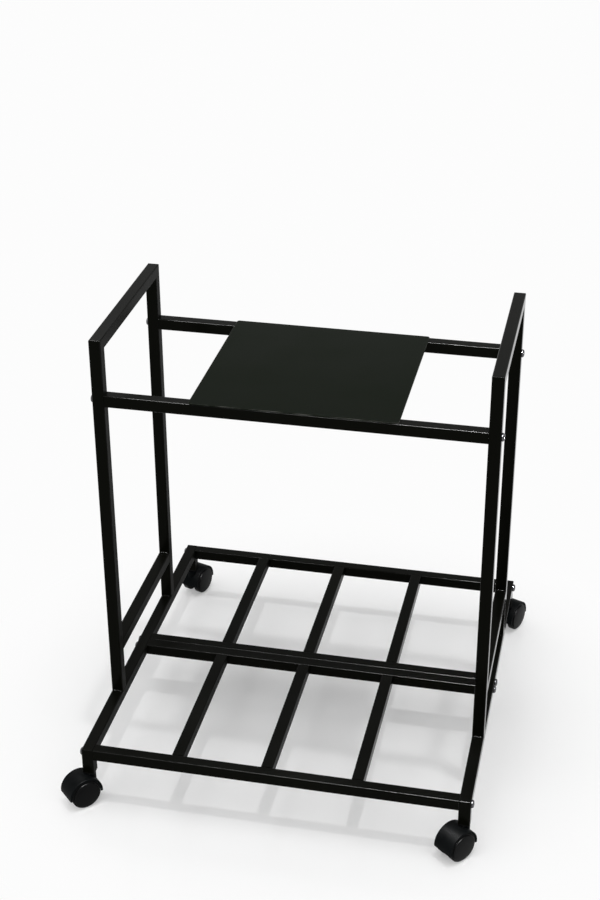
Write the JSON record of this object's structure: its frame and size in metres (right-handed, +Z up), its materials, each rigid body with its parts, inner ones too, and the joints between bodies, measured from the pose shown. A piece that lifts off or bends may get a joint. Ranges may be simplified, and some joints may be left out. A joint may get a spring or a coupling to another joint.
{
  "type": "battery trolley",
  "caption": "Square-tube steel trolley with two low slatted battery trays, a raised shelf plate between handle frames, and swivelling twin-wheel casters.",
  "frame": {"origin": "on the floor under the middle of the trolley: midway between the side frames and midway along their base tubes", "axes": "+Z up; +X across the trolley from the left side frame to the right one; +Y from the front to the rear"},
  "size_m": [0.6794, 0.7091, 0.741],
  "materials": {
    "frame_tube": "satin black powder coat",
    "shelf_sheet": "satin black powder coat on flat sheet",
    "zinc_screw": "black zinc plate",
    "inner_steel": "plain steel, lightly oiled",
    "hood_nylon": "fine-textured black nylon moulding",
    "wheel_nylon": "smooth black nylon moulding",
    "socket_plastic": "plain black plastic"
  },
  "bodies": {
    "frame": {"caster_grip_rings": "inner_steel", "caster_sockets": "socket_plastic", "caster_stems": "inner_steel", "front_shelf_rail": "frame_tube", "front_tray_front_rail": "frame_tube", "front_tray_left_slat": "frame_tube", "front_tray_middle_slat": "frame_tube", "front_tray_rear_rail": "frame_tube", "front_tray_right_slat": "frame_tube", "left_base_tube": "frame_tube", "left_front_leg": "frame_tube", "left_front_upright": "frame_tube", "left_handle_bar": "frame_tube", "left_rear_leg": "frame_tube", "left_rear_upright": "frame_tube", "left_stretcher": "frame_tube", "rear_shelf_rail": "frame_tube", "rear_tray_front_rail": "frame_tube", "rear_tray_left_slat": "frame_tube", "rear_tray_middle_slat": "frame_tube", "rear_tray_rear_rail": "frame_tube", "rear_tray_right_slat": "frame_tube", "right_base_tube": "frame_tube", "right_front_leg": "frame_tube", "right_front_upright": "frame_tube", "right_handle_bar": "frame_tube", "right_rear_leg": "frame_tube", "right_rear_upright": "frame_tube", "right_stretcher": "frame_tube", "shelf_plate": "shelf_sheet", "shelf_rail_nut_blocks": "inner_steel", "shelf_rail_screws": "zinc_screw", "tray_nut_blocks": "inner_steel", "tray_screws": "zinc_screw"},
    "front_left_swivel": {"front_left_caster_hood": "hood_nylon", "front_left_caster_axle": "inner_steel"},
    "front_left_left_wheel": {"front_left_caster_left_wheel": "wheel_nylon"},
    "front_left_right_wheel": {"front_left_caster_right_wheel": "wheel_nylon"},
    "front_right_swivel": {"front_right_caster_hood": "hood_nylon", "front_right_caster_axle": "inner_steel"},
    "front_right_left_wheel": {"front_right_caster_left_wheel": "wheel_nylon"},
    "front_right_right_wheel": {"front_right_caster_right_wheel": "wheel_nylon"},
    "rear_left_swivel": {"rear_left_caster_hood": "hood_nylon", "rear_left_caster_axle": "inner_steel"},
    "rear_left_left_wheel": {"rear_left_caster_left_wheel": "wheel_nylon"},
    "rear_left_right_wheel": {"rear_left_caster_right_wheel": "wheel_nylon"},
    "rear_right_swivel": {"rear_right_caster_hood": "hood_nylon", "rear_right_caster_axle": "inner_steel"},
    "rear_right_left_wheel": {"rear_right_caster_left_wheel": "wheel_nylon"},
    "rear_right_right_wheel": {"rear_right_caster_right_wheel": "wheel_nylon"}
  },
  "joints": [
    {"name": "front_left_swivel_turn", "type": "hinge", "parent": "frame", "child": "front_left_swivel", "pos_m": [-0.3005, -0.307, 0.05], "axis": [0, 0, 1], "continuous": true},
    {"name": "front_left_left_wheel_roll", "type": "hinge", "parent": "front_left_swivel", "child": "front_left_left_wheel", "pos_m": [-0.31252, -0.31902, 0.025], "axis": [0.7071, -0.7071, 0], "continuous": true},
    {"name": "front_left_right_wheel_roll", "type": "hinge", "parent": "front_left_swivel", "child": "front_left_right_wheel", "pos_m": [-0.31252, -0.31902, 0.025], "axis": [0.7071, -0.7071, 0], "continuous": true},
    {"name": "front_right_swivel_turn", "type": "hinge", "parent": "frame", "child": "front_right_swivel", "pos_m": [0.3005, -0.307, 0.05], "axis": [0, 0, 1], "continuous": true},
    {"name": "front_right_left_wheel_roll", "type": "hinge", "parent": "front_right_swivel", "child": "front_right_left_wheel", "pos_m": [0.2898, -0.32021, 0.025], "axis": [0.7771, -0.6293, 0], "continuous": true},
    {"name": "front_right_right_wheel_roll", "type": "hinge", "parent": "front_right_swivel", "child": "front_right_right_wheel", "pos_m": [0.2898, -0.32021, 0.025], "axis": [0.7771, -0.6293, 0], "continuous": true},
    {"name": "rear_left_swivel_turn", "type": "hinge", "parent": "frame", "child": "rear_left_swivel", "pos_m": [-0.3005, 0.307, 0.05], "axis": [0, 0, 1], "continuous": true},
    {"name": "rear_left_left_wheel_roll", "type": "hinge", "parent": "rear_left_swivel", "child": "rear_left_left_wheel", "pos_m": [-0.29525, 0.32317, 0.025], "axis": [-0.9511, 0.309, 0], "continuous": true},
    {"name": "rear_left_right_wheel_roll", "type": "hinge", "parent": "rear_left_swivel", "child": "rear_left_right_wheel", "pos_m": [-0.29525, 0.32317, 0.025], "axis": [-0.9511, 0.309, 0], "continuous": true},
    {"name": "rear_right_swivel_turn", "type": "hinge", "parent": "frame", "child": "rear_right_swivel", "pos_m": [0.3005, 0.307, 0.05], "axis": [0, 0, 1], "continuous": true},
    {"name": "rear_right_left_wheel_roll", "type": "hinge", "parent": "rear_right_swivel", "child": "rear_right_left_wheel", "pos_m": [0.30714, 0.32265, 0.025], "axis": [-0.9205, 0.3907, 0], "continuous": true},
    {"name": "rear_right_right_wheel_roll", "type": "hinge", "parent": "rear_right_swivel", "child": "rear_right_right_wheel", "pos_m": [0.30714, 0.32265, 0.025], "axis": [-0.9205, 0.3907, 0], "continuous": true}
  ]
}
